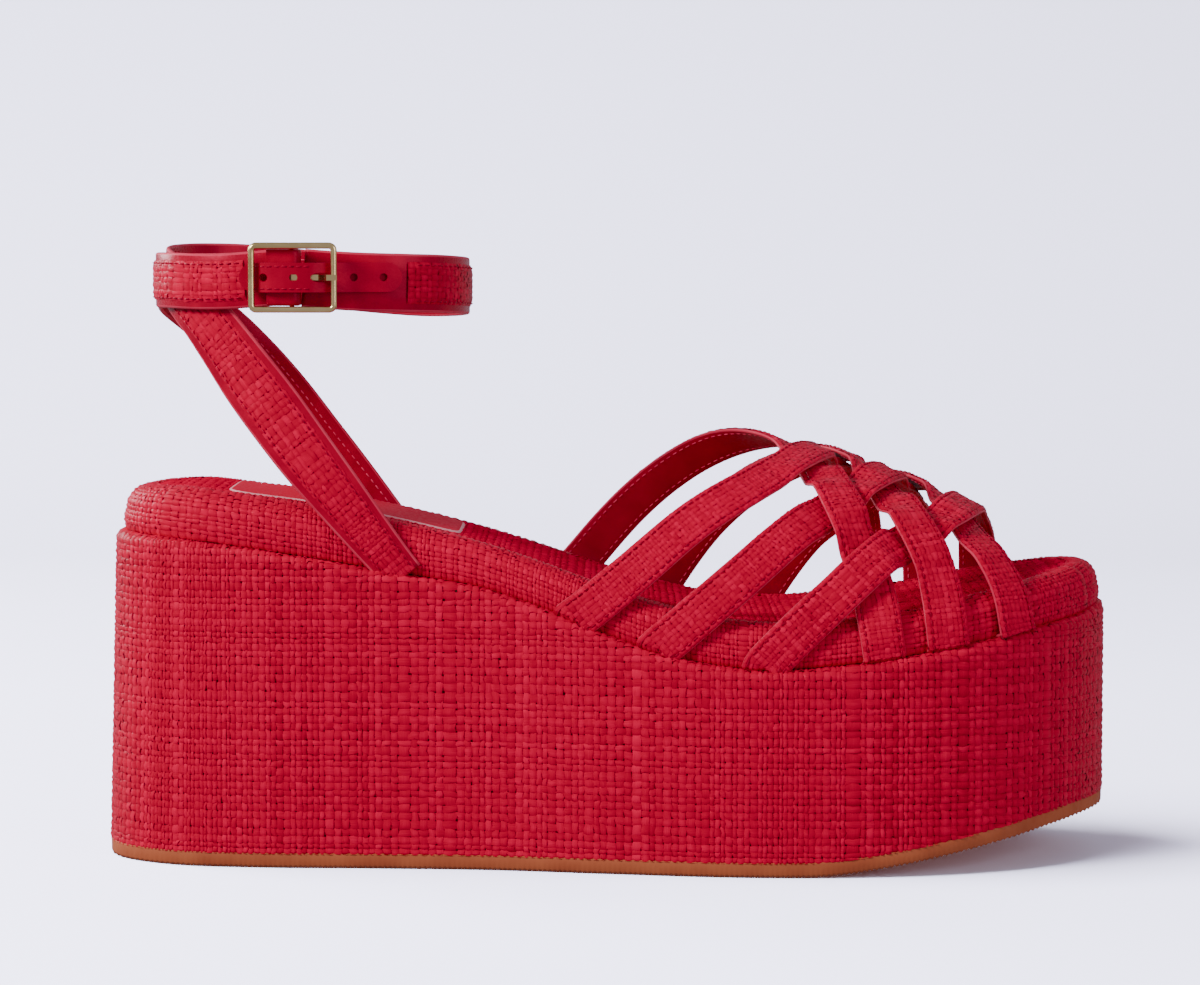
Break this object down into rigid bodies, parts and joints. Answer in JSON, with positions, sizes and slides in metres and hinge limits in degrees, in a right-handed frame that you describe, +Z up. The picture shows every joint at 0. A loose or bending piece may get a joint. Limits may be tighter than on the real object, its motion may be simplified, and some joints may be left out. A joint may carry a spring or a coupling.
{
  "type": "wedge sandal",
  "caption": "platform wedge sandal with a raffia-covered sole and footbed, a woven multi-strap open-toe vamp and a crossed ankle strap closed by a small buckle",
  "frame": {"origin": "on the ground under the middle of the sole, midway between heel and toe", "axes": "+X to the toe, +Y to the inner (medial) side, +Z up; the sandal is for a right foot"},
  "size_m": [0.2554, 0.0943, 0.1563],
  "materials": {
    "raffia": "woven raffia strips, crimson, slightly glossy",
    "leather": "smooth semi-gloss deep red leather",
    "label_leather": "thin smooth red leather with a pale edge",
    "rubber": "matt tan rubber, finely ribbed across",
    "core": "light foamed sole core",
    "foam": "soft foam",
    "board": "fibre insole board",
    "buckle_metal": "pale antique gold, satin"
  },
  "bodies": {
    "sole": {"outsole": "rubber", "platform_core": "core", "platform_cover": "raffia", "insole_board": "board", "footbed_cushion": "foam", "footbed_cover": "raffia", "sock_label": "label_leather", "vamp_outer_1_lining": "leather", "vamp_outer_2_lining": "leather", "vamp_outer_3_lining": "leather", "vamp_inner_1_lining": "leather", "vamp_inner_2_lining": "leather", "vamp_inner_3_lining": "leather", "vamp_outer_1_raffia": "raffia", "vamp_outer_2_raffia": "raffia", "vamp_outer_3_raffia": "raffia", "vamp_inner_1_raffia": "raffia", "vamp_inner_2_raffia": "raffia", "vamp_inner_3_raffia": "raffia", "outer_riser_root": "leather", "inner_riser_root": "leather", "outer_riser_root_raffia": "raffia", "inner_riser_root_raffia": "raffia"},
    "ankle_strap": {"outer_ankle_leather": "leather", "outer_ankle_raffia": "raffia", "inner_ankle_leather": "leather", "inner_ankle_raffia": "raffia", "billet": "leather"},
    "buckle_frame_body": {"buckle_frame": "buckle_metal"},
    "buckle_prong_body": {"buckle_prong": "buckle_metal"}
  },
  "joints": [
    {"name": "ankle_strap_fold", "type": "hinge", "parent": "sole", "child": "ankle_strap", "pos_m": [-0.058, 0, 0.0816], "axis": [0, 1, 0], "range_deg": [-25, 30], "stiffness_Nm_per_rad": 0.6},
    {"name": "buckle_swivel", "type": "hinge", "parent": "ankle_strap", "child": "buckle_frame_body", "pos_m": [-0.0784, -0.0315, 0.1476], "axis": [0, 0, 1], "range_deg": [-2.5, 2.5]},
    {"name": "prong_swivel", "type": "hinge", "parent": "buckle_frame_body", "child": "buckle_prong_body", "pos_m": [-0.0784, -0.0315, 0.1476], "axis": [0, 0, -1], "range_deg": [0, 3]}
  ]
}
